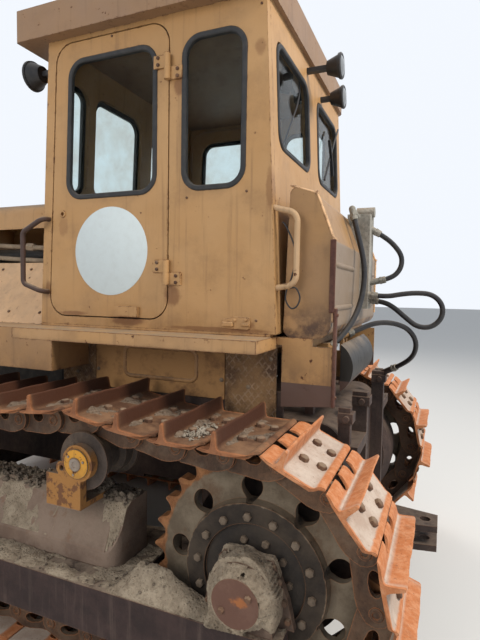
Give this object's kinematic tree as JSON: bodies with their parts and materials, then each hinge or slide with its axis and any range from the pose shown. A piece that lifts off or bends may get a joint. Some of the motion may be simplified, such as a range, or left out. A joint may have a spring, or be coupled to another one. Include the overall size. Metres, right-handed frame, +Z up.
{
  "type": "crawler bulldozer",
  "caption": "Crawler bulldozer with a boxy closed cab, a full-width straight blade on outside push arms, open track frames and a rear fuel tank.",
  "frame": {"origin": "centre of the machine's footprint box on the ground", "axes": "+X forward to the blade, +Y to the machine's left, +Z up"},
  "size_m": [5.32, 3.22, 3.07],
  "materials": {
    "body_paint": "sun-bleached ochre-yellow paint, chipped and dusty",
    "track_steel": "orange-brown rust with dry mud",
    "sprocket_steel": "rusty steel under grey-tan dust",
    "frame_steel": "dark red-brown rust and mud",
    "engine_iron": "oily dark iron",
    "dark_steel": "dark brown weathered paint",
    "dark_plastic": "matt black plastic",
    "cab_glass": "clear glass, dusty",
    "blade_steel": "worn ochre paint over rust",
    "edge_steel": "scoured steel with rust",
    "chrome_rod": "polished rod",
    "seat_vinyl": "black vinyl",
    "hose_rubber": "black rubber hose, dusty"
  },
  "bodies": {
    "machine": {"air_cleaner": "dark_steel", "bottom_rollers": "sprocket_steel", "cab_fan": "dark_plastic", "cab_front_wall": "body_paint", "cab_glass": "cab_glass", "cab_rear_wall": "body_paint", "cab_roof": "body_paint", "cab_side_left": "body_paint", "cab_side_right": "body_paint", "carrier_rollers": "sprocket_steel", "control_console": "dark_plastic", "engine_block": "engine_iron", "engine_side_panels": "body_paint", "exhaust_stack": "dark_steel", "floor_platform": "body_paint", "fuel_tank": "body_paint", "handrails": "dark_steel", "headlights": "dark_plastic", "hood": "body_paint", "hose_down": "hose_rubber", "hose_loop": "hose_rubber", "hose_lower": "hose_rubber", "hose_upper": "hose_rubber", "hydraulic_distributor": "dark_steel", "idler_left": "sprocket_steel", "idler_right": "sprocket_steel", "lift_brackets": "frame_steel", "lower_side_plates": "body_paint", "main_frame": "frame_steel", "radiator_grille": "dark_steel", "radiator_shell": "body_paint", "rear_axle_housing": "frame_steel", "rear_hitch": "frame_steel", "seat": "seat_vinyl", "side_boxes": "body_paint", "sprocket_left": "sprocket_steel", "sprocket_right": "sprocket_steel", "tank_cradle": "frame_steel", "track_frame_left": "frame_steel", "track_frame_right": "frame_steel", "track_left": "track_steel", "track_right": "track_steel", "work_lamps": "dark_plastic"},
    "blade": {"blade": "blade_steel", "cutting_edge": "edge_steel", "push_frame": "blade_steel"},
    "door_left": {"door_left": "body_paint", "door_glass_left": "cab_glass"},
    "door_right": {"door_right": "body_paint", "door_glass_right": "cab_glass"},
    "lift_barrel_left": {"lift_barrel_left": "blade_steel"},
    "lift_barrel_right": {"lift_barrel_right": "blade_steel"},
    "lift_rod_left": {"lift_rod_left": "chrome_rod"},
    "lift_rod_right": {"lift_rod_right": "chrome_rod"}
  },
  "joints": [
    {"name": "blade_lift", "type": "hinge", "parent": "machine", "child": "blade", "pos_m": [-0.59, 0, 0.4], "axis": [0, -1, 0], "range_deg": [0, 17.5]},
    {"name": "door_left_swing", "type": "hinge", "parent": "machine", "child": "door_left", "pos_m": [-1.487, 0.737, 2.14], "axis": [0, 0, 1], "range_deg": [0, 160]},
    {"name": "door_right_swing", "type": "hinge", "parent": "machine", "child": "door_right", "pos_m": [-1.487, -0.737, 2.14], "axis": [0, 0, -1], "range_deg": [0, 160]},
    {"name": "lift_barrel_left_pivot", "type": "hinge", "parent": "machine", "child": "lift_barrel_left", "pos_m": [0.92, 0.64, 1.52], "axis": [0, -1, 0], "range_deg": [0, 32.15]},
    {"name": "lift_rod_left_slide", "type": "slide", "parent": "lift_barrel_left", "child": "lift_rod_left", "axis": [0.8133, 0, -0.5819], "range_m": [-0.4812, 0]},
    {"name": "lift_barrel_right_pivot", "type": "hinge", "parent": "machine", "child": "lift_barrel_right", "pos_m": [0.92, -0.64, 1.52], "axis": [0, -1, 0], "range_deg": [0, 32.15]},
    {"name": "lift_rod_right_slide", "type": "slide", "parent": "lift_barrel_right", "child": "lift_rod_right", "axis": [0.8133, 0, -0.5819], "range_m": [-0.4812, 0]}
  ],
  "couplings": [
    {"joint": "lift_barrel_left_pivot", "follows": "blade_lift", "ratio": 1.8202},
    {"joint": "lift_rod_left_slide", "follows": "blade_lift", "m_per_rad": -1.5689},
    {"joint": "lift_barrel_right_pivot", "follows": "blade_lift", "ratio": 1.8202},
    {"joint": "lift_rod_right_slide", "follows": "blade_lift", "m_per_rad": -1.5689}
  ]
}
